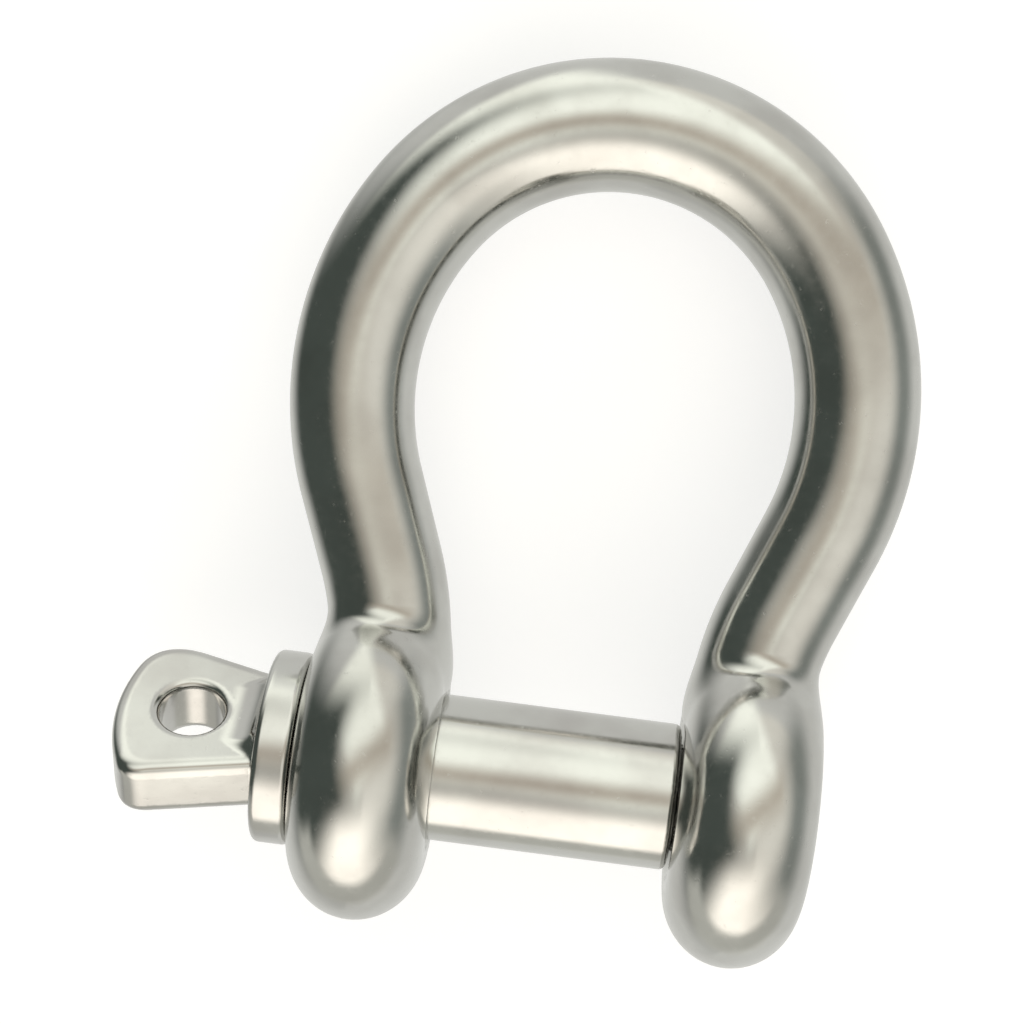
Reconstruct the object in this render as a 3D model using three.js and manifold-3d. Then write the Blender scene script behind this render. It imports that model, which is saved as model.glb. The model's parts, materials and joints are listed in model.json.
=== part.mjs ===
// A 10 mm class bow shackle: an omega-shaped bow with an ear at each end, and a screw pin across its jaw.
// Everything is first built in the plane of the bow, with the pin axis along x through the origin, the
// crown towards +y and the bar's thickness along z. The whole is then laid down on both ears and the crown.
import * as THREE from 'three';
import { mergeVertices } from 'three/addons/utils/BufferGeometryUtils.js';
import Module from 'manifold-3d';

// Driving dimensions, in millimetres and degrees.
const BAR = 10; // bar diameter round the crown
const NECK = 9.3; // bar diameter where an arm enters its ear
const TAPER_END = 0.8; // share of the way from the crown to an ear at which the bar is down to its neck
const CROWN_RADIUS = 18.4; // radius of the crown, on the bar's centreline
const CROWN_CENTRE = 32; // from the pin axis to the centre of the crown
const SHOULDER = 34; // the crown's arc ends this far above its centre's level, and the flank takes over
const FLANK_RADIUS = 23; // radius of each flank, below the shoulder
const ARM_LEAN = 21; // angle between an arm's straight and the shackle's own centreline
const ARM_SWEEP = 23; // radius of the reverse bend that leads each arm down into its ear
const ARM_ROOT = 13.9; // from the shackle's centreline to an arm's centreline at the ear
const JAW = 18.4; // clear gap between the ears
const EAR_THICKNESS = 10.4;
const EAR_RADIUS = 12.3;
const EAR_FLAT = 6.9; // the ear's faces are flat out to this radius, and its rim is rounded from there

const SHANK = 11.2; // pin diameter across the jaw
const BORE = 11.8; // plain bore of the ear beside the head
const THREAD = 10; // nominal thread diameter
const PITCH = 1.5;
const THREAD_DEPTH = 0.9;
const THREAD_CLEARANCE = 0.18; // on the radius
const LEAD_IN = 11.7; // diameter of the countersink that leads the thread in, at the tapped ear's inner face
const RELIEF = 1; // length of the plain groove between the shank's shoulder and the thread
const SEAT_GAP = 0.2; // between faces that meet when the pin is tight

const COLLAR = 14.8; // collar diameter
const COLLAR_THICKNESS = 2.7;
const COLLAR_EDGE = 0.5; // chamfer on both rims of the collar
const COLLAR_FIT = 0.3; // between the collar and the shank, on the radius

const TAB_THICKNESS = 5.2;
const TAB_ROOT = 9.6; // width beside the collar
const TAB_WIDTH = 14.2; // width at the free end
const TAB_LENGTH = 9.5; // from the collar to the corners of the free end
const TAB_CROWN = 2.1; // rise of the free end's arc above its corners
const TAB_OFFSET = 0.45; // the paddle is forged this far off the pin axis
const TAB_EDGE = 0.6; // rounding of the paddle's edges
const TAB_FILLET = 2; // between the tab's flats and the collar
const TAB_TURN = 53; // the tightened tab's face looks this far from the bow's plane normal, to the crown
const EYE = 5; // lashing hole through the tab
const EYE_FROM_COLLAR = 5.8;

// Fineness of the round shapes.
const BAR_SIDES = 20;
const BAR_STEPS = 52;
const ROUND_SIDES = 40;
const RIM_STEPS = 12;
const THREAD_SIDES = 20;
const ROWS_PER_PITCH = 6;
const WELD = 1e-4;
const OVERRUN = 1; // how far a cutting tool runs past the faces that it cuts

const EAR_OUTER = JAW / 2 + EAR_THICKNESS;
const COLLAR_FACE = -EAR_OUTER - SEAT_GAP - COLLAR_THICKNESS; // x of the face that the tab grows from
const radians = THREE.MathUtils.degToRad;

const wasm = await Module();
wasm.setup();

/** Welds a closed geometry into a solid that can be joined and cut. */
function solidOf(geometry) {
  const bare = geometry.clone();
  bare.deleteAttribute('normal');
  bare.deleteAttribute('uv');
  const welded = mergeVertices(bare, WELD);
  const corners = welded.getIndex().array;
  const triangles = [];
  for (let i = 0; i < corners.length; i += 3) {
    const [a, b, c] = corners.slice(i, i + 3);
    // A surface of revolution has triangles that shrink to a line at its poles.
    if (a !== b && b !== c && c !== a) triangles.push(a, b, c);
  }
  const mesh = new wasm.Mesh({
    numProp: 3,
    vertProperties: new Float32Array(welded.getAttribute('position').array),
    triVerts: new Uint32Array(triangles),
  });
  return new wasm.Manifold(mesh);
}

/** Gives a finished solid back as a three.js geometry. */
function geometryOf(solid) {
  const mesh = solid.getMesh();
  const geometry = new THREE.BufferGeometry();
  geometry.setAttribute('position', new THREE.BufferAttribute(mesh.vertProperties, 3));
  geometry.setIndex(new THREE.BufferAttribute(mesh.triVerts, 1));
  geometry.computeVertexNormals();
  return geometry;
}

/** Turns a profile of [x, radius] points about the x axis. */
function turned(profile, sides = ROUND_SIDES) {
  const points = profile.map(([x, radius]) => new THREE.Vector2(radius, x));
  return new THREE.LatheGeometry(points, sides).rotateZ(-Math.PI / 2);
}

/** A plain rod along the x axis. */
function rod(diameter, from, to, sides = ROUND_SIDES) {
  const geometry = new THREE.CylinderGeometry(diameter / 2, diameter / 2, to - from, sides);
  return geometry.rotateZ(-Math.PI / 2).translate((from + to) / 2, 0, 0);
}

/** A right-hand threaded rod along the x axis, with rounded crests and roots. */
function threadedRod(diameter, from, to) {
  const rows = Math.round(((to - from) / PITCH) * ROWS_PER_PITCH);
  const geometry = new THREE.CylinderGeometry(1, 1, to - from, THREAD_SIDES, rows);
  geometry.rotateZ(-Math.PI / 2).translate((from + to) / 2, 0, 0);
  const position = geometry.getAttribute('position');
  for (let i = 0; i < position.count; i += 1) {
    const [x, y, z] = [position.getX(i), position.getY(i), position.getZ(i)];
    const onWall = Math.hypot(y, z) > 0.5;
    const turns = x / PITCH - Math.atan2(z, y) / (2 * Math.PI);
    const depth = (THREAD_DEPTH / 2) * (1 - Math.cos(2 * Math.PI * turns));
    const radius = onWall ? diameter / 2 - depth : 0;
    position.setXYZ(i, x, y * radius, z * radius);
  }
  return geometry;
}

// ---- the bow ----

/** The bar's centreline: ear, reverse bend, straight, flank, crown, and the same back down. */
class BowCentreline extends THREE.Curve {
  constructor() {
    super();
    const lean = radians(ARM_LEAN);
    const shoulder = radians(SHOULDER);
    const flankX = -(FLANK_RADIUS - CROWN_RADIUS) * Math.cos(shoulder);
    const flankY = CROWN_CENTRE - (FLANK_RADIUS - CROWN_RADIUS) * Math.sin(shoulder);
    const bendX = ARM_ROOT + ARM_SWEEP;
    const straight = (flankX - bendX + (FLANK_RADIUS + ARM_SWEEP) * Math.cos(lean)) / Math.sin(lean);
    const bendY = flankY - (FLANK_RADIUS + ARM_SWEEP) * Math.sin(lean) - straight * Math.cos(lean);
    this.outline = new THREE.Path();
    this.outline.moveTo(ARM_ROOT, 0);
    this.outline.lineTo(ARM_ROOT, bendY);
    this.outline.absarc(bendX, bendY, ARM_SWEEP, Math.PI, Math.PI - lean, true);
    this.outline.absarc(flankX, flankY, FLANK_RADIUS, -lean, shoulder, false);
    this.outline.absarc(0, CROWN_CENTRE, CROWN_RADIUS, shoulder, Math.PI - shoulder, false);
    this.outline.absarc(-flankX, flankY, FLANK_RADIUS, Math.PI - shoulder, Math.PI + lean, false);
    this.outline.absarc(-bendX, bendY, ARM_SWEEP, lean, 0, true);
    this.outline.lineTo(-ARM_ROOT, 0);
  }

  getPoint(t, target = new THREE.Vector3()) {
    const point = this.outline.getPointAt(t);
    return target.set(point.x, point.y, 0);
  }
}

/** The round bar, drawn down evenly from the crown to the necks. */
function bentBar() {
  const centreline = new BowCentreline();
  const section = new THREE.Shape().absarc(0, 0, BAR / 2, 0, 2 * Math.PI);
  const geometry = new THREE.ExtrudeGeometry(section, {
    steps: BAR_STEPS,
    curveSegments: BAR_SIDES / 2,
    bevelEnabled: false,
    extrudePath: centreline,
  });
  const centres = centreline.getSpacedPoints(BAR_STEPS);
  const position = geometry.getAttribute('position');
  const corner = new THREE.Vector3();
  for (let i = 0; i < position.count; i += 1) {
    corner.fromBufferAttribute(position, i);
    const distances = centres.map((centre) => centre.distanceToSquared(corner));
    const nearest = distances.indexOf(Math.min(...distances));
    const fromCrown = Math.abs(2 * nearest / BAR_STEPS - 1);
    const drawn = THREE.MathUtils.smoothstep(fromCrown, 0, TAPER_END);
    const scale = THREE.MathUtils.lerp(1, NECK / BAR, drawn);
    corner.sub(centres[nearest]).multiplyScalar(scale).add(centres[nearest]);
    position.setXYZ(i, corner.x, corner.y, corner.z);
  }
  return geometry;
}

/** One ear: a thick disc on the pin axis, with a rim rounded to half an ellipse. */
function ear(side) {
  const middle = side * (JAW / 2 + EAR_THICKNESS / 2);
  const profile = [[middle - EAR_THICKNESS / 2, 0]];
  for (let step = 0; step <= RIM_STEPS; step += 1) {
    const angle = Math.PI * (step / RIM_STEPS - 0.5);
    const x = middle + (EAR_THICKNESS / 2) * Math.sin(angle);
    profile.push([x, EAR_FLAT + (EAR_RADIUS - EAR_FLAT) * Math.cos(angle)]);
  }
  profile.push([middle + EAR_THICKNESS / 2, 0]);
  return turned(profile);
}

/** What the countersink at the mouth of the tapped bore takes away. */
function leadIn() {
  const bottom = JAW / 2 + (LEAD_IN - THREAD) / 2;
  return turned([
    [JAW / 2 - OVERRUN, 0],
    [JAW / 2 - OVERRUN, LEAD_IN / 2],
    [JAW / 2, LEAD_IN / 2],
    [bottom, THREAD / 2],
    [bottom, 0],
  ]);
}

function bowBody() {
  const plainBore = rod(BORE, -EAR_OUTER - OVERRUN, -JAW / 2 + OVERRUN);
  const tappedBore = threadedRod(THREAD + 2 * THREAD_CLEARANCE, JAW / 2 - OVERRUN, EAR_OUTER + OVERRUN);
  const solid = solidOf(bentBar())
    .add(solidOf(ear(-1)))
    .add(solidOf(ear(1)))
    .subtract(solidOf(plainBore))
    .subtract(solidOf(tappedBore))
    .subtract(solidOf(leadIn()));
  return geometryOf(solid);
}

// ---- the pin ----

/** The collar, as a ring round the shank. */
function collarRing() {
  const outer = COLLAR / 2;
  const inner = SHANK / 2 + COLLAR_FIT;
  const back = COLLAR_FACE;
  const front = COLLAR_FACE + COLLAR_THICKNESS;
  return turned([
    [back, inner],
    [back, outer - COLLAR_EDGE],
    [back + COLLAR_EDGE, outer],
    [front - COLLAR_EDGE, outer],
    [front, outer - COLLAR_EDGE],
    [front, inner],
    [back, inner],
  ]);
}

/** The plain shank, with the flare that runs from the collar down to the tab's flats. */
function shank() {
  const flareSteps = 4;
  const profile = [[COLLAR_FACE - TAB_FILLET, 0]];
  for (let step = 0; step <= flareSteps; step += 1) {
    const angle = (Math.PI / 2) * (step / flareSteps);
    profile.push([
      COLLAR_FACE - TAB_FILLET * (1 - Math.sin(angle)),
      TAB_THICKNESS / 2 + TAB_FILLET * (1 - Math.cos(angle)),
    ]);
  }
  const shoulder = JAW / 2 - SEAT_GAP;
  const root = THREAD / 2 - THREAD_DEPTH;
  profile.push([COLLAR_FACE, SHANK / 2]);
  profile.push([shoulder, SHANK / 2]);
  profile.push([shoulder, root]);
  profile.push([shoulder + RELIEF + OVERRUN, root]);
  profile.push([shoulder + RELIEF + OVERRUN, 0]);
  return turned(profile);
}

/** The eye tab: a fan-shaped paddle, flat on both sides, with a convex free end and a round eye. */
function eyeTab() {
  const endRadius = ((TAB_WIDTH / 2) ** 2 + TAB_CROWN ** 2) / (2 * TAB_CROWN);
  const endCentre = TAB_LENGTH + TAB_CROWN - endRadius;
  const endAngle = Math.asin(TAB_WIDTH / 2 / endRadius);
  const outline = new THREE.Shape();
  outline.moveTo(SEAT_GAP, -TAB_ROOT / 2);
  outline.lineTo(TAB_LENGTH, -TAB_WIDTH / 2);
  outline.absarc(endCentre, 0, endRadius, -endAngle, endAngle, false);
  outline.lineTo(SEAT_GAP, TAB_ROOT / 2);
  const paddle = new THREE.ExtrudeGeometry(outline, {
    depth: TAB_THICKNESS - 2 * TAB_EDGE,
    curveSegments: 10,
    bevelThickness: TAB_EDGE,
    bevelSize: TAB_EDGE,
    bevelOffset: -TAB_EDGE,
    bevelSegments: 2,
  });
  paddle.translate(0, 0, TAB_EDGE - TAB_THICKNESS / 2);
  const eye = new THREE.CylinderGeometry(EYE / 2, EYE / 2, TAB_THICKNESS + 2 * OVERRUN, ROUND_SIDES / 2);
  eye.rotateX(Math.PI / 2).translate(EYE_FROM_COLLAR, 0, 0);
  const tab = geometryOf(solidOf(paddle).subtract(solidOf(eye)));
  tab.rotateY(Math.PI).translate(COLLAR_FACE, TAB_OFFSET, 0);
  return tab.rotateX(-radians(TAB_TURN));
}

function screwPin() {
  const threadFrom = JAW / 2 - SEAT_GAP + RELIEF;
  const solid = solidOf(shank())
    .add(solidOf(threadedRod(THREAD, threadFrom, EAR_OUTER)))
    .add(solidOf(eyeTab()));
  return geometryOf(solid);
}

// ---- the assembly ----

function steelMesh(name, geometry, color) {
  const material = new THREE.MeshStandardMaterial({ color, metalness: 1, roughness: 0.2 });
  const mesh = new THREE.Mesh(geometry, material);
  mesh.name = name;
  return mesh;
}

const flat = new THREE.Group();
flat.add(steelMesh('bow_body', bowBody(), 0xc4c6c0));
flat.add(steelMesh('pin_collar', collarRing(), 0xc9c8c2));
flat.add(steelMesh('screw_pin', screwPin(), 0xccc9c2));

// The ears are fatter than the bar, so the shackle lies with its crown down by this angle.
flat.rotation.x = -Math.asin((EAR_RADIUS - BAR / 2) / (CROWN_CENTRE + CROWN_RADIUS));

// The origin is under the middle of the resting shackle.
const shackle = new THREE.Group();
shackle.add(flat);
const box = new THREE.Box3().setFromObject(shackle, true);
const middle = box.getCenter(new THREE.Vector3());
flat.position.set(-middle.x, -middle.y, -box.min.z);

export default shackle;
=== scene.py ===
"""A polished steel bow shackle with a screw pin, lying on a pale floor under soft studio light.

The two forgings are modelled as smooth fields: a field is below zero inside the steel, and the mesh is its
zero surface. Fields are written in millimetres in the bow's own plane: the pin axis is x, the crown is
towards +y, and z is square to the bow. FLAT_TO_ROW then lays the finished mesh down on the frame's floor.
"""
import json
import math

import bmesh
import bpy
import numpy as np
from mathutils import Matrix, Vector


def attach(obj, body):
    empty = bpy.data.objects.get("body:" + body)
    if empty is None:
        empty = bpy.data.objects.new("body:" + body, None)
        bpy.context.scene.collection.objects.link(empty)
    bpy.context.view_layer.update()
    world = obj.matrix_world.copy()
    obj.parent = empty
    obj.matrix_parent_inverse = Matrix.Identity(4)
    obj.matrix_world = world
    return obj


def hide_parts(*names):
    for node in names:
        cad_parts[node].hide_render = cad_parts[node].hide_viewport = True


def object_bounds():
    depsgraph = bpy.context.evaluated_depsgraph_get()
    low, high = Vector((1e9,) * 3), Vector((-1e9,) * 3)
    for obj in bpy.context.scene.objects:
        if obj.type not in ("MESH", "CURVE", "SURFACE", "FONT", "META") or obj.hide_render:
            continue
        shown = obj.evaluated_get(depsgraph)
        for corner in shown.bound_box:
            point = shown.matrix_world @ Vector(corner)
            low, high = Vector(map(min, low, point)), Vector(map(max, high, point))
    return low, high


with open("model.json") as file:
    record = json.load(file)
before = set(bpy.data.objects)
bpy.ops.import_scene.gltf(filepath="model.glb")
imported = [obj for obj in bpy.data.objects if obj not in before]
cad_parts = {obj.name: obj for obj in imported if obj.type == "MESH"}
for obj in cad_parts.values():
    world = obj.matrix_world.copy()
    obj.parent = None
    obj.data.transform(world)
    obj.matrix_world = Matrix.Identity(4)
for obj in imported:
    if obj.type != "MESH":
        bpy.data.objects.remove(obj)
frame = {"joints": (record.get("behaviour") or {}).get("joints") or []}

cad_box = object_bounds()

# ---- driving dimensions, in millimetres and radians: the CAD part's, but for edges and TIGHT_GAP ----

BAR = 10.0
NECK = 9.3
TAPER_END = 0.8
CROWN_RADIUS = 18.4
CROWN_CENTRE = 32.0
SHOULDER = math.radians(34)
FLANK_RADIUS = 23.0
ARM_LEAN = math.radians(21)
ARM_SWEEP = 23.0
ARM_ROOT = 13.9
JAW = 18.4
EAR_THICKNESS = 10.4
EAR_RADIUS = 12.3
EAR_FLAT = 6.9
EAR_OUTER = JAW / 2 + EAR_THICKNESS

SHANK = 11.2
BORE = 11.8
THREAD = 10.0
PITCH = 1.5
THREAD_DEPTH = 0.9
THREAD_CLEARANCE = 0.18
LEAD_IN = 11.7
RELIEF = 1.0
SEAT_GAP = 0.2
TIGHT_GAP = 0.06  # the tightened pin's shoulder and collar all but touch the ears
SHOULDER_X = JAW / 2 - TIGHT_GAP
THREAD_END = 0.7  # chamfer on the pin's threaded end

COLLAR = 14.8
COLLAR_THICKNESS = 2.7
COLLAR_EDGE = 0.55
COLLAR_FACE = -EAR_OUTER - SEAT_GAP - COLLAR_THICKNESS

TAB_THICKNESS = 5.2
TAB_ROOT = 9.6
TAB_WIDTH = 14.2
TAB_LENGTH = 9.5
TAB_CROWN = 2.1
TAB_OFFSET = 0.45
TAB_TURN = math.radians(53)
EYE = 5.0
EYE_FROM_COLLAR = 5.8

# How far each edge or joint is blended. A sharp corner is eased over about this distance.
CREASE_BLEND = 1.2  # where an arm runs into its ear
BORE_BLEND = 0.5
TAB_EDGE_BLEND = 1.1
TAB_UPPER_CORNER = 3.2
TAB_LOWER_CORNER = 1.6
TAB_FLAT_FILLET = 3.2  # from the tab's flats to the collar
TAB_SIDE_FILLET = 0.5  # from the tab's sides to the collar
TAB_FILLET_FADE = 2.2  # over which one fillet becomes the other
EYE_BLEND = 0.7
THREAD_BLEND = 0.2

BOW_STEP = 0.42  # spacing of the mesh, in millimetres
PIN_STEP = 0.25

MM = 0.001
FLOOR_RADIUS = 4.0  # in metres
FLOOR_DROP = 0.00002  # keeps the floor just clear of the steel
TABLE_GLOW = 0.66

# ---- where the bow's plane lies in the frame ----

LIE = math.asin((EAR_RADIUS - BAR / 2) / (CROWN_CENTRE + CROWN_RADIUS))
pin_turn = next(joint for joint in frame["joints"] if joint["name"] == "pin_turn")
PIN_CENTRE = Vector(pin_turn["pos_m"])
FLAT_TO_ROW = Matrix.Translation(PIN_CENTRE) @ Matrix.Rotation(-LIE, 4, "X") @ Matrix.Scale(MM, 4)


# ---- fields ----

def smooth_min(a, b, reach):
    """The lower of two fields, with the corner between them eased over reach."""
    share = np.clip(0.5 + 0.5 * (b - a) / reach, 0, 1)
    return b + (a - b) * share - reach * share * (1 - share)


def smooth_max(a, b, reach):
    return -smooth_min(-a, -b, reach)


def smoothstep(t):
    t = np.clip(t, 0, 1)
    return t * t * (3 - 2 * t)


def arc_distance(x, y, centre, radius, start, end):
    """Distance to an arc, and how far along it the nearest point lies, from 0 to 1."""
    middle, half = (start + end) / 2, abs(end - start) / 2
    turn = np.arctan2(y - centre[1], x - centre[0]) - middle
    turn = np.clip((turn + math.pi) % (2 * math.pi) - math.pi, -half, half)
    near_x = centre[0] + radius * np.cos(middle + turn)
    near_y = centre[1] + radius * np.sin(middle + turn)
    share = 0.5 + turn / (end - start)
    return np.hypot(x - near_x, y - near_y), share


def line_distance(x, y, start, end):
    run = np.subtract(end, start)
    share = np.clip(((x - start[0]) * run[0] + (y - start[1]) * run[1]) / (run @ run), 0, 1)
    return np.hypot(x - start[0] - share * run[0], y - start[1] - share * run[1]), share


def bar_field(x, y, z):
    """The bent round bar. Its centreline is a reverse bend, a straight, a flank and half the crown."""
    x = np.abs(x)
    drop = FLANK_RADIUS - CROWN_RADIUS
    flank = (-drop * math.cos(SHOULDER), CROWN_CENTRE - drop * math.sin(SHOULDER))
    radii = FLANK_RADIUS + ARM_SWEEP
    bend_x = ARM_ROOT + ARM_SWEEP
    straight = (flank[0] - bend_x + radii * math.cos(ARM_LEAN)) / math.sin(ARM_LEAN)
    bend = (bend_x, flank[1] - radii * math.sin(ARM_LEAN) - straight * math.cos(ARM_LEAN))
    lean = np.array((math.sin(ARM_LEAN), math.cos(ARM_LEAN)))
    rise = (bend[0] - ARM_SWEEP * lean[1], bend[1] + ARM_SWEEP * lean[0])
    stretches = [
        (ARM_SWEEP * ARM_LEAN, arc_distance(x, y, bend, ARM_SWEEP, math.pi, math.pi - ARM_LEAN)),
        (straight, line_distance(x, y, rise, rise + straight * lean)),
        (FLANK_RADIUS * (ARM_LEAN + SHOULDER), arc_distance(x, y, flank, FLANK_RADIUS, -ARM_LEAN, SHOULDER)),
        (
            CROWN_RADIUS * (math.pi / 2 - SHOULDER),
            arc_distance(x, y, (0, CROWN_CENTRE), CROWN_RADIUS, SHOULDER, math.pi / 2),
        ),
    ]
    total = bend[1] + sum(length for length, _ in stretches)
    nearest = np.full(x.shape, np.inf)
    along = np.zeros(x.shape)
    passed = bend[1]
    for length, (distance, share) in stretches:
        closer = distance < nearest
        nearest = np.where(closer, distance, nearest)
        along = np.where(closer, passed + share * length, along)
        passed += length
    from_crown = 1 - along / total
    radius = BAR / 2 + (NECK - BAR) / 2 * smoothstep(from_crown / TAPER_END)
    return np.hypot(nearest, z) - radius


def ear_field(x, rho):
    """Both ears: thick discs on the pin axis, with rims rounded to half an ellipse."""
    off = np.abs(x) - JAW / 2 - EAR_THICKNESS / 2
    half = EAR_THICKNESS / 2
    past_flat = np.maximum(rho - EAR_FLAT, 0) * half / (EAR_RADIUS - EAR_FLAT)
    return np.hypot(off, past_flat) - half


def thread_radius(x, angle):
    """Radius of a right-hand thread's surface, with rounded crests and roots."""
    turns = x / PITCH - angle / (2 * math.pi)
    return THREAD / 2 - THREAD_DEPTH / 2 * (1 - np.cos(2 * math.pi * turns))


def bow_field(x, y, z):
    rho = np.hypot(y, z)
    angle = np.arctan2(z, y)
    body = smooth_min(bar_field(x, y, z), ear_field(x, rho), CREASE_BLEND)
    mouth = LEAD_IN / 2 - (x - JAW / 2)
    thread = thread_radius(x, angle) + THREAD_CLEARANCE
    tapped = np.maximum(thread, np.maximum(mouth, THREAD / 2 - THREAD_DEPTH))
    hole = np.where(x < 0, BORE / 2, np.minimum(tapped, LEAD_IN / 2)) - rho
    return smooth_max(body, hole, BORE_BLEND)


def disc_field(x, rho, start, end, radius, edge):
    """A disc on the x axis with rounded rims."""
    side = np.abs(x - (start + end) / 2) - (end - start) / 2 + edge
    rim = rho - radius + edge
    outside = np.hypot(np.maximum(side, 0), np.maximum(rim, 0))
    return outside + np.minimum(np.maximum(side, rim), 0) - edge


def tab_field(x, y, z):
    """The eye tab: a fan-shaped paddle, its eye, and how far the paddle blends into the collar."""
    out = COLLAR_FACE - x
    wide = y * math.cos(TAB_TURN) - z * math.sin(TAB_TURN) - TAB_OFFSET
    thick = y * math.sin(TAB_TURN) + z * math.cos(TAB_TURN)
    spread = np.clip(out / TAB_LENGTH, 0, 1.5)
    sides = np.abs(wide) - TAB_ROOT / 2 - (TAB_WIDTH - TAB_ROOT) / 2 * spread
    end_radius = ((TAB_WIDTH / 2) ** 2 + TAB_CROWN ** 2) / (2 * TAB_CROWN)
    end = np.hypot(out - TAB_LENGTH - TAB_CROWN + end_radius, wide) - end_radius
    corner = np.where(wide > 0, TAB_UPPER_CORNER, TAB_LOWER_CORNER)
    outline = smooth_max(sides, end, corner)
    paddle = smooth_max(outline, np.abs(thick) - TAB_THICKNESS / 2, TAB_EDGE_BLEND)
    paddle = np.maximum(paddle, -out - COLLAR_THICKNESS / 2)
    eye = EYE / 2 - np.hypot(out - EYE_FROM_COLLAR, wide)
    off_side = smoothstep((TAB_ROOT / 2 - np.abs(wide)) / TAB_FILLET_FADE)
    fillet = TAB_SIDE_FILLET + (TAB_FLAT_FILLET - TAB_SIDE_FILLET) * off_side
    return paddle, eye, fillet


def pin_field(x, y, z):
    rho = np.hypot(y, z)
    angle = np.arctan2(z, y)
    paddle, eye, fillet = tab_field(x, y, z)
    collar = disc_field(x, rho, COLLAR_FACE, -EAR_OUTER - TIGHT_GAP, COLLAR / 2, COLLAR_EDGE)
    head = smooth_max(smooth_min(paddle, collar, fillet), eye, EYE_BLEND)
    shank = disc_field(x, rho, COLLAR_FACE + 1, SHOULDER_X, SHANK / 2, COLLAR_EDGE)
    core = disc_field(x, rho, 0, SHOULDER_X + 2 * RELIEF, THREAD / 2 - THREAD_DEPTH, THREAD_BLEND)
    lead = np.minimum(0, EAR_OUTER - THREAD_END - x)
    screw = np.maximum(rho - thread_radius(x, angle) - lead, np.abs(x - EAR_OUTER / 2) - EAR_OUTER / 2)
    screw = np.maximum(screw, SHOULDER_X + RELIEF - x)
    rod = smooth_min(smooth_min(shank, core, THREAD_BLEND), screw, THREAD_BLEND)
    return smooth_min(head, rod, THREAD_BLEND)


# ---- meshes ----

def zero_surface(field, low, high, step):
    """Vertices and quads of a closed mesh round the space where field is below zero."""
    axes = [np.arange(a, b + step, step) for a, b in zip(low, high)]
    grid = np.stack(np.meshgrid(*axes, indexing="ij"), -1)
    value = field(grid[..., 0], grid[..., 1], grid[..., 2])
    inside = value < 0
    cells = np.array(value.shape) - 1
    corners = [(i, j, k) for i in (0, 1) for j in (0, 1) for k in (0, 1)]

    def corner(array, at):
        return array[tuple(slice(a, a + n) for a, n in zip(at, cells))]

    count = sum(corner(inside, at).astype(int) for at in corners)
    mixed = (count > 0) & (count < 8)
    number = np.full(mixed.shape, -1)
    number[mixed] = np.arange(mixed.sum())
    # A cell's vertex is the mean of the points where the surface crosses the cell's edges.
    points = np.zeros((mixed.sum(), 3))
    crossings = np.zeros(mixed.sum())
    for a in corners:
        for b in corners:
            if sum(b) - sum(a) == 1 and np.abs(np.subtract(a, b)).sum() == 1:
                va, vb = corner(value, a)[mixed], corner(value, b)[mixed]
                crossed = (va < 0) != (vb < 0)
                share = np.where(crossed, va / np.where(crossed, va - vb, 1), 0)[:, None]
                point = corner(grid, a)[mixed] * (1 - share) + corner(grid, b)[mixed] * share
                points += np.where(crossed[:, None], point, 0)
                crossings += crossed
    points /= crossings[:, None]
    # Each grid edge that the surface crosses is ringed by four cells, which make a quad.
    quads = []
    for axis in range(3):
        u, v = (axis + 1) % 3, (axis + 2) % 3
        span = [slice(1, n) for n in cells]
        span[axis] = slice(0, cells[axis])
        ahead = list(span)
        ahead[axis] = slice(1, cells[axis] + 1)
        here, there = inside[tuple(span)], inside[tuple(ahead)]
        edges = np.argwhere(here != there)
        leaving = here[tuple(edges.T)]
        base = edges.copy()
        base[:, u] += 1
        base[:, v] += 1
        ring = []
        for du, dv in ((1, 1), (0, 1), (0, 0), (1, 0)):
            cell = base.copy()
            cell[:, u] -= du
            cell[:, v] -= dv
            ring.append(number[tuple(cell.T)])
        ring = np.stack(ring, 1)
        quads.append(np.where(leaving[:, None], ring, ring[:, ::-1]))
    return points, np.concatenate(quads)


def gradient(field, points, delta=0.02):
    slopes = []
    for axis in range(3):
        shift = np.zeros(3)
        shift[axis] = delta
        slopes.append((field(*(points + shift).T) - field(*(points - shift).T)) / (2 * delta))
    return np.stack(slopes, 1)


def settle(field, points, rounds=4):
    """Moves points onto the field's zero surface."""
    for _ in range(rounds):
        slope = gradient(field, points)
        steepness = np.maximum((slope ** 2).sum(1), 0.05)
        points = points - (field(*points.T) / steepness)[:, None] * slope
    return points


def forging(name, field, low, high, step):
    """One forging as a smooth-shaded object, laid down in the frame."""
    points, quads = zero_surface(field, low, high, step)
    points = settle(field, points)
    normals = gradient(field, points)
    normals /= np.linalg.norm(normals, axis=1)[:, None]
    mesh = bpy.data.meshes.new(name)
    mesh.from_pydata(points.tolist(), [], quads.tolist())
    mesh.transform(FLAT_TO_ROW)
    turn = np.array(Matrix.Rotation(-LIE, 3, "X"))
    mesh.polygons.foreach_set("use_smooth", [True] * len(mesh.polygons))
    mesh.normals_split_custom_set_from_vertices((normals @ turn.T).tolist())
    mesh.update()
    piece = bpy.data.objects.new(name, mesh)
    bpy.context.scene.collection.objects.link(piece)
    return piece


# ---- steel ----

def node_at(tree, kind, **values):
    node = tree.nodes.new(kind)
    for name, value in values.items():
        if hasattr(node, name):
            setattr(node, name, value)
        else:
            node.inputs[name.replace("_", " ")].default_value = value
    return node


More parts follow.
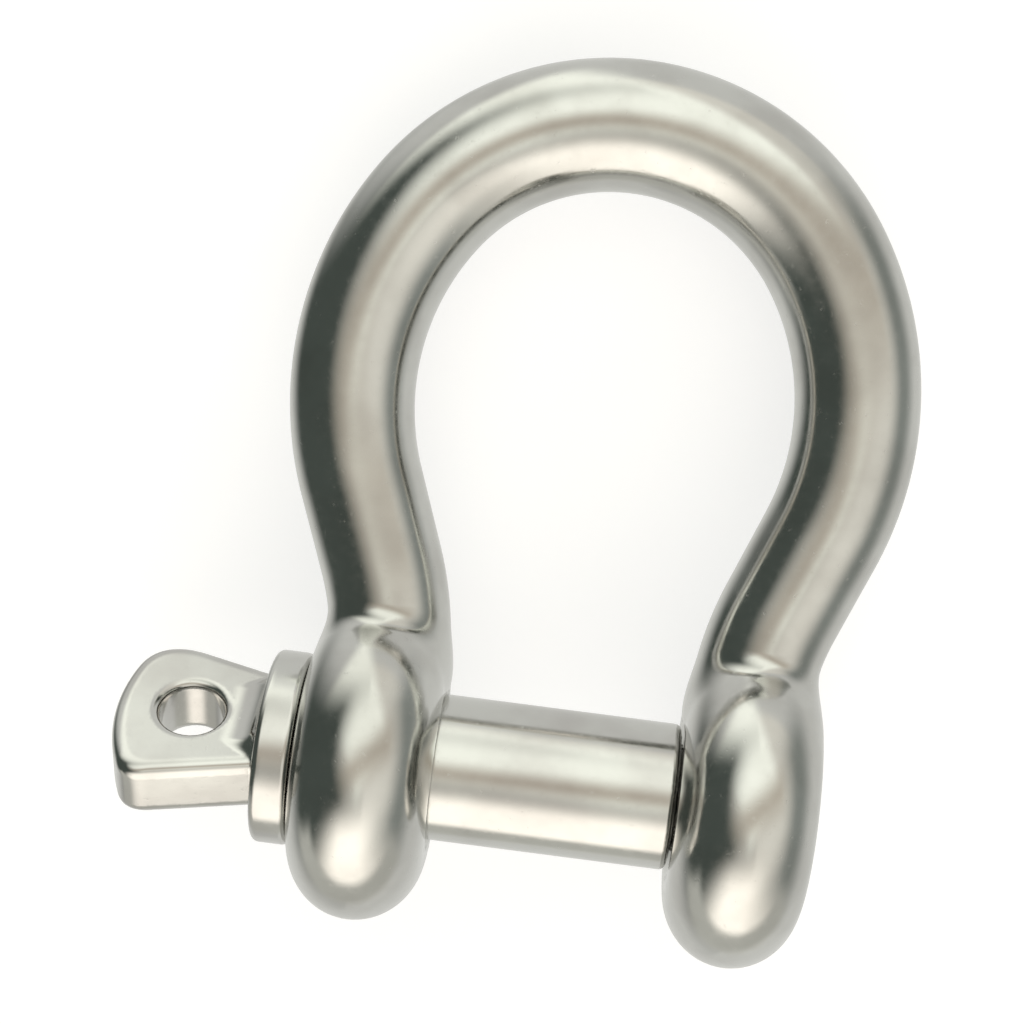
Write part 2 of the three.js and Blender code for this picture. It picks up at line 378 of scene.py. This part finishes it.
def polished_steel(name, colour, dull_colour, roughness):
    """Tumbled and buffed stainless steel: near mirror, with a faint orange peel, pits and hairlines."""
    material = bpy.data.materials.new(name)
    material.use_nodes = True
    tree = material.node_tree
    shader = tree.nodes["Principled BSDF"]
    shader.inputs["Metallic"].default_value = 1.0
    place = tree.nodes.new("ShaderNodeTexCoord").outputs["Object"]

    def noise(scale, detail, stretch=None):
        texture = node_at(tree, "ShaderNodeTexNoise", Scale=scale, Detail=detail)
        source = place
        if stretch:
            mapping = node_at(tree, "ShaderNodeMapping", Scale=stretch)
            tree.links.new(place, mapping.inputs["Vector"])
            source = mapping.outputs["Vector"]
        tree.links.new(source, texture.inputs["Vector"])
        return texture.outputs["Fac"]

    def ranged(source, low, high, to_low, to_high):
        step = node_at(tree, "ShaderNodeMapRange", interpolation_type="SMOOTHSTEP")
        for socket, value in zip(("From Min", "From Max", "To Min", "To Max"), (low, high, to_low, to_high)):
            step.inputs[socket].default_value = value
        tree.links.new(source, step.inputs["Value"])
        return step.outputs["Result"]

    clouds = noise(160, 3)
    grain = noise(1400, 4)
    pits = noise(2600, 2)
    hairlines = noise(900, 3, (0.12, 1.0, 1.0))

    tint = node_at(tree, "ShaderNodeMix", data_type="RGBA")
    tree.links.new(ranged(clouds, 0.35, 0.7, 0.0, 1.0), tint.inputs["Factor"])
    tint.inputs["A"].default_value = (*colour, 1)
    tint.inputs["B"].default_value = (*dull_colour, 1)
    tree.links.new(tint.outputs["Result"], shader.inputs["Base Color"])

    worn = tree.nodes.new("ShaderNodeMath")
    worn.operation = "ADD"
    tree.links.new(ranged(grain, 0.3, 0.75, roughness * 0.75, roughness * 1.25), worn.inputs[0])
    tree.links.new(ranged(pits, 0.62, 0.75, 0.0, 0.12), worn.inputs[1])
    tree.links.new(worn.outputs["Value"], shader.inputs["Roughness"])

    relief = tree.nodes.new("ShaderNodeMath")
    relief.operation = "MULTIPLY_ADD"
    tree.links.new(hairlines, relief.inputs[0])
    relief.inputs[1].default_value = 0.35
    tree.links.new(ranged(pits, 0.6, 0.78, 1.0, 0.0), relief.inputs[2])
    bump = node_at(tree, "ShaderNodeBump", Strength=0.06, Distance=0.00003)
    tree.links.new(relief.outputs["Value"], bump.inputs["Height"])
    tree.links.new(bump.outputs["Normal"], shader.inputs["Normal"])
    return material


# ---- the studio ----

# The camera stands over the shackle, a little to its crown's side, and the picture is turned a little.
# Distances are in metres and angles in radians.
AIM = FLAT_TO_ROW @ Vector((0, 23, 0))
CAMERA_DISTANCE = 0.160
CAMERA_LEAN = 0.072  # towards the crown from the bow's own normal, in radians
CAMERA_ROLL = 0.129
LENS = 73.7
SHIFT = (-0.080, -0.0247)

bow_turn = FLAT_TO_ROW.to_3x3().normalized()
OUT = bow_turn @ Vector((0, math.sin(CAMERA_LEAN), math.cos(CAMERA_LEAN)))
along_pin = bow_turn @ Vector((1, 0, 0))
to_crown = OUT.cross(along_pin)
RIGHT = math.cos(CAMERA_ROLL) * along_pin + math.sin(CAMERA_ROLL) * to_crown
UP = OUT.cross(RIGHT)


def add_camera():
    data = bpy.data.cameras.new("camera")
    data.lens = LENS
    data.sensor_width = 36.0
    data.shift_x, data.shift_y = SHIFT
    data.clip_start = 0.005
    data.clip_end = 10.0
    camera = bpy.data.objects.new("camera", data)
    bpy.context.scene.collection.objects.link(camera)
    turn = Matrix((RIGHT, UP, OUT)).transposed()
    camera.matrix_world = Matrix.Translation(AIM + CAMERA_DISTANCE * OUT) @ turn.to_4x4()
    bpy.context.scene.camera = camera


# The studio is a tent of soft light over a greyer table. Each panel is a soft-edged patch of light or shade:
# its bearing counter-clockwise from the camera's right and its angle from the camera's axis, its twist, its
# half-widths across and along that angle, the width of its soft edge, all in degrees, and its light.
TENT = (0.95, 0.92, 0.84)
TABLE = (0.75, 0.75, 0.72)
PANELS = [
    ("low window", 260, 70, 0, 30, 35, 40, (1.8, 1.7, 1.55)),
    ("upper cloth", 100, 40, -60, 50, 30, 15, (1.4, 1.42, 1.3)),
    ("camera's own shade", 0, 0, 15, 12, 60, 25, (0.68, 0.62, 0.53)),
    ("dark wall", 180, 75, 15, 45, 50, 40, (0.08, 0.095, 0.085)),
    ("right gap", 355, 85, 0, 45, 20, 35, (0.3, 0.32, 0.3)),
    ("low gap", 260, 105, 0, 55, 12, 12, (0.6, 0.6, 0.55)),
]


def toward(bearing, tilt):
    around = math.cos(bearing) * RIGHT + math.sin(bearing) * UP
    return math.cos(tilt) * OUT + math.sin(tilt) * around


def add_tent():
    world = bpy.data.worlds.new("tent")
    world.use_nodes = True
    bpy.context.scene.world = world
    tree = world.node_tree
    background = tree.nodes["Background"]
    direction = tree.nodes.new("ShaderNodeTexCoord").outputs["Generated"]

    def dot(axis):
        product = tree.nodes.new("ShaderNodeVectorMath")
        product.operation = "DOT_PRODUCT"
        tree.links.new(direction, product.inputs[0])
        product.inputs[1].default_value = axis
        return product.outputs["Value"]

    def within(source, half, soft):
        """1 where the direction lies within half of the panel's middle, fading to 0 over soft."""
        size = tree.nodes.new("ShaderNodeMath")
        size.operation = "ABSOLUTE"
        tree.links.new(source, size.inputs[0])
        fade = node_at(tree, "ShaderNodeMapRange", interpolation_type="SMOOTHSTEP")
        fade.inputs["From Min"].default_value = math.sin(math.radians(min(half + soft / 2, 89)))
        fade.inputs["From Max"].default_value = math.sin(math.radians(max(half - soft / 2, 0)))
        tree.links.new(size.outputs["Value"], fade.inputs["Value"])
        return fade.outputs["Result"]

    def times(a, b):
        product = tree.nodes.new("ShaderNodeMath")
        product.operation = "MULTIPLY"
        tree.links.new(a, product.inputs[0])
        tree.links.new(b, product.inputs[1])
        return product.outputs["Value"]

    height = node_at(tree, "ShaderNodeMapRange", interpolation_type="SMOOTHSTEP")
    height.inputs["From Min"].default_value = -0.1
    height.inputs["From Max"].default_value = 0.1
    tree.links.new(dot((0, 0, 1)), height.inputs["Value"])
    base = node_at(tree, "ShaderNodeMix", data_type="RGBA")
    tree.links.new(height.outputs["Result"], base.inputs["Factor"])
    base.inputs["A"].default_value = (*TABLE, 1)
    base.inputs["B"].default_value = (*TENT, 1)
    colour = base.outputs["Result"]
    for _, bearing, tilt, twist, across, along, soft, light in PANELS:
        bearing, tilt, twist = math.radians(bearing), math.radians(tilt), math.radians(twist)
        middle = toward(bearing, tilt)
        level = -math.sin(bearing) * RIGHT + math.cos(bearing) * UP
        sideways = math.cos(twist) * level + math.sin(twist) * middle.cross(level)
        mask = times(within(dot(sideways), across, soft), within(dot(middle.cross(sideways)), along, soft))
        front = node_at(tree, "ShaderNodeMapRange")
        front.inputs["From Max"].default_value = 0.05
        tree.links.new(dot(middle), front.inputs["Value"])
        mix = node_at(tree, "ShaderNodeMix", data_type="RGBA")
        tree.links.new(times(mask, front.outputs["Result"]), mix.inputs["Factor"])
        tree.links.new(colour, mix.inputs["A"])
        mix.inputs["B"].default_value = (*light, 1)
        colour = mix.outputs["Result"]
    tree.links.new(colour, background.inputs["Color"])


def add_floor():
    mesh = bpy.data.meshes.new("floor")
    shape = bmesh.new()
    bmesh.ops.create_circle(shape, cap_ends=True, segments=96, radius=FLOOR_RADIUS)
    shape.to_mesh(mesh)
    shape.free()
    floor = bpy.data.objects.new("floor", mesh)
    bpy.context.scene.collection.objects.link(floor)
    floor.location.z = cad_box[0][2] - FLOOR_DROP
    material = bpy.data.materials.new("floor_paper")
    material.use_nodes = True
    tree = material.node_tree
    shader = tree.nodes["Principled BSDF"]
    shader.inputs["Roughness"].default_value = 0.9
    fibres = node_at(tree, "ShaderNodeTexNoise", Scale=700.0, Detail=3.0)
    tone = node_at(tree, "ShaderNodeMix", data_type="RGBA")
    tree.links.new(fibres.outputs["Fac"], tone.inputs["Factor"])
    tone.inputs["A"].default_value = (0.5, 0.5, 0.5, 1)
    tone.inputs["B"].default_value = (0.53, 0.53, 0.53, 1)
    tree.links.new(tone.outputs["Result"], shader.inputs["Base Color"])
    # The table is lit from below, which keeps the shadows pale. The steel mirrors the tent, not the table.
    shader.inputs["Emission Color"].default_value = (1, 1, 1, 1)
    shader.inputs["Emission Strength"].default_value = TABLE_GLOW
    floor.visible_glossy = False
    mesh.materials.append(material)


# ---- the shackle ----

def add_bow():
    margin = 2 * BOW_STEP
    half_width = FLANK_RADIUS + BAR / 2
    crown = CROWN_CENTRE + CROWN_RADIUS + BAR / 2 + margin
    rim = EAR_RADIUS + margin
    bow = forging("bow", bow_field, (-half_width, -rim, -rim), (half_width, crown, rim), BOW_STEP)
    bow.data.materials.append(polished_steel("bow_steel", (0.64, 0.64, 0.615), (0.55, 0.545, 0.52), 0.15))
    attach(bow, "bow")
    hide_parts("bow_body")


def add_pin():
    margin = 3 * PIN_STEP
    end = COLLAR_FACE - TAB_LENGTH - TAB_CROWN - margin
    rim = COLLAR / 2 + margin
    pin = forging("pin", pin_field, (end, -rim, -rim), (EAR_OUTER + margin, rim, rim), PIN_STEP)
    pin.data.materials.append(polished_steel("pin_steel", (0.64, 0.64, 0.615), (0.56, 0.55, 0.53), 0.15))
    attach(pin, "pin")
    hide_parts("screw_pin", "pin_collar")


add_camera()
add_tent()
add_floor()
add_bow()
add_pin()
bpy.context.scene.view_settings.view_transform = "Standard"
